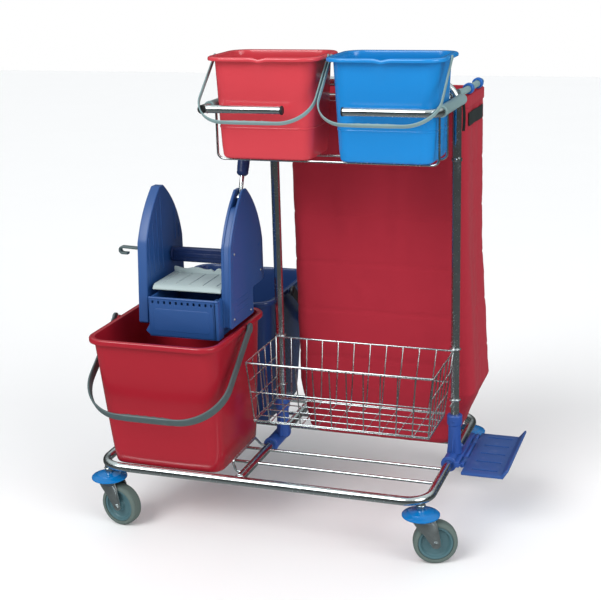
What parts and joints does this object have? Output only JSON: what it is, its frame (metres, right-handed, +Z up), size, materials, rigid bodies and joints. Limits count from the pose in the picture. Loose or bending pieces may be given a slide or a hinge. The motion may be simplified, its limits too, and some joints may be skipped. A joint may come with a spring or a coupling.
{
  "type": "housekeeping_cart",
  "caption": "Housekeeping cart: chromed tube frame on castors with a wringer over a red bucket, a wire basket, upper pails and a red laundry bag",
  "frame": {"origin": "middle of the cart's outer box, on the floor", "axes": "+X runs along the cart towards the foot plate, +Y runs from the front (pails) to the back (bag), +Z is up"},
  "size_m": [0.9764, 0.7572, 1.11],
  "materials": {
    "steel": "polished",
    "zinc": "satin",
    "socket_blue": "satin",
    "bumper_blue": "gloss",
    "tyre_grey": "matte",
    "hub_grey": "satin",
    "bucket_red": "gloss",
    "bucket_blue": "gloss",
    "bail_grey": "satin",
    "pail_red": "gloss",
    "pail_blue": "gloss",
    "soft_grey": "satin",
    "wringer_blue": "satin",
    "plate_grey": "satin",
    "navy": "satin",
    "bag_red": "coated cloth",
    "strap_black": "webbing"
  },
  "bodies": {
    "frame": {"base_loop": "steel", "cross_tube": "steel", "shelf_rod_1": "steel", "shelf_rod_2": "steel", "shelf_rod_3": "steel", "shelf_rod_4": "steel", "bucket_rail": "steel", "upright_frame": "steel", "tray_bar_left": "steel", "tray_bar_right": "steel", "tray_back_rail": "steel", "cradle_wire_front": "steel", "cradle_wire_back": "steel", "basket_front": "steel", "basket_back": "steel", "basket_left": "steel", "basket_right": "steel", "basket_floor": "steel", "bumper_front_left": "bumper_blue", "bumper_front_right": "bumper_blue", "bumper_rear_left": "bumper_blue", "bumper_rear_right": "bumper_blue", "left_socket": "socket_blue", "right_socket": "socket_blue", "bag_clip_1": "bumper_blue", "bag_clip_2": "bumper_blue", "tray_sleeve_left": "soft_grey", "tray_sleeve_right": "soft_grey", "bag_arm": "soft_grey", "laundry_bag": "bag_red", "bag_strap": "strap_black"},
    "fork_front_left_body": {"fork_front_left": "zinc"},
    "wheel_front_left": {"hub_front_left": "hub_grey", "tyre_front_left": "tyre_grey"},
    "fork_front_right_body": {"fork_front_right": "zinc"},
    "wheel_front_right": {"hub_front_right": "hub_grey", "tyre_front_right": "tyre_grey"},
    "fork_rear_left_body": {"fork_rear_left": "zinc"},
    "wheel_rear_left": {"hub_rear_left": "hub_grey", "tyre_rear_left": "tyre_grey"},
    "fork_rear_right_body": {"fork_rear_right": "zinc"},
    "wheel_rear_right": {"hub_rear_right": "hub_grey", "tyre_rear_right": "tyre_grey"},
    "front_bucket_body": {"front_bucket": "bucket_red"},
    "front_bail_body": {"front_bail": "bail_grey"},
    "wringer": {"wringer_housing_left": "wringer_blue", "wringer_housing_right": "wringer_blue", "strainer_box": "wringer_blue", "press_plate": "plate_grey", "wringer_hook": "bail_grey"},
    "lever": {"wringer_lever": "steel", "lever_grip": "navy"},
    "press_bar_body": {"press_bar": "navy"},
    "rear_bucket_body": {"rear_bucket": "bucket_blue"},
    "rear_bail_body": {"rear_bail": "navy"},
    "red_pail_body": {"red_pail": "pail_red"},
    "red_pail_bail_body": {"red_pail_bail": "soft_grey"},
    "blue_pail_body": {"blue_pail": "pail_blue"},
    "blue_pail_bail_body": {"blue_pail_bail": "soft_grey"},
    "foot_plate_body": {"foot_plate": "socket_blue"}
  },
  "joints": [
    {"name": "swivel_front_left", "type": "hinge", "parent": "frame", "child": "fork_front_left_body", "pos_m": [-0.4457, -0.27864, 0.1125], "axis": [0, 0, 1], "continuous": true},
    {"name": "wheel_spin_front_left", "type": "hinge", "parent": "fork_front_left_body", "child": "wheel_front_left", "pos_m": [-0.41439, -0.28529, 0.05], "axis": [0.2079, 0.9781, 0], "continuous": true},
    {"name": "swivel_front_right", "type": "hinge", "parent": "frame", "child": "fork_front_right_body", "pos_m": [0.32209, -0.27864, 0.1125], "axis": [0, 0, 1], "continuous": true},
    {"name": "wheel_spin_front_right", "type": "hinge", "parent": "fork_front_right_body", "child": "wheel_front_right", "pos_m": [0.35227, -0.26801, 0.05], "axis": [-0.3322, 0.9432, 0], "continuous": true},
    {"name": "swivel_rear_left", "type": "hinge", "parent": "frame", "child": "fork_rear_left_body", "pos_m": [-0.4457, 0.23014, 0.1125], "axis": [0, 0, 1], "continuous": true},
    {"name": "wheel_spin_rear_left", "type": "hinge", "parent": "fork_rear_left_body", "child": "wheel_rear_left", "pos_m": [-0.41401, 0.22569, 0.05], "axis": [0.1392, 0.9903, 0], "continuous": true},
    {"name": "swivel_rear_right", "type": "hinge", "parent": "frame", "child": "fork_rear_right_body", "pos_m": [0.32209, 0.23014, 0.1125], "axis": [0, 0, 1], "continuous": true},
    {"name": "wheel_spin_rear_right", "type": "hinge", "parent": "fork_rear_right_body", "child": "wheel_rear_right", "pos_m": [0.35176, 0.24213, 0.05], "axis": [-0.3746, 0.9272, 0], "continuous": true},
    {"name": "front_bucket_lift", "type": "slide", "parent": "frame", "child": "front_bucket_body", "axis": [0, 0, 1], "range_m": [0, 0.02]},
    {"name": "front_bail_swing", "type": "hinge", "parent": "front_bucket_body", "child": "front_bail_body", "pos_m": [-0.2928, -0.15275, 0.47455], "axis": [-1, 0, 0], "range_deg": [0, 95]},
    {"name": "wringer_lift", "type": "slide", "parent": "front_bucket_body", "child": "wringer", "axis": [0, 0, 1], "range_m": [0, 0.02]},
    {"name": "lever_swing", "type": "hinge", "parent": "wringer", "child": "lever", "pos_m": [-0.1448, -0.11685, 0.775], "axis": [-1, 0, 0], "range_deg": [0, 50]},
    {"name": "press_slide", "type": "slide", "parent": "wringer", "child": "press_bar_body", "axis": [0, 0, -1], "range_m": [0, 0.028]},
    {"name": "rear_bucket_lift", "type": "slide", "parent": "frame", "child": "rear_bucket_body", "axis": [0, 0, 1], "range_m": [0, 0.25]},
    {"name": "rear_bail_swing", "type": "hinge", "parent": "rear_bucket_body", "child": "rear_bail_body", "pos_m": [-0.2928, 0.15275, 0.4813], "axis": [1, 0, 0], "range_deg": [0, 120]},
    {"name": "red_pail_lift", "type": "slide", "parent": "frame", "child": "red_pail_body", "axis": [0, 0, 1], "range_m": [0, 0.25]},
    {"name": "red_bail_swing", "type": "hinge", "parent": "red_pail_body", "child": "red_pail_bail_body", "pos_m": [-0.0383, -0.16925, 1.1045], "axis": [-1, 0, 0], "range_deg": [0, 150]},
    {"name": "blue_pail_lift", "type": "slide", "parent": "frame", "child": "blue_pail_body", "axis": [0, 0, 1], "range_m": [0, 0.25]},
    {"name": "blue_bail_swing", "type": "hinge", "parent": "blue_pail_body", "child": "blue_pail_bail_body", "pos_m": [0.2307, -0.16925, 1.1045], "axis": [-1, 0, 0], "range_deg": [0, 150]},
    {"name": "foot_plate_fold", "type": "hinge", "parent": "frame", "child": "foot_plate_body", "pos_m": [0.3712, -0.02425, 0.1545], "axis": [0, -1, 0], "range_deg": [0, 65]}
  ],
  "couplings": [
    {"joint": "press_slide", "follows": "lever_swing", "m_per_rad": 0.032086}
  ]
}
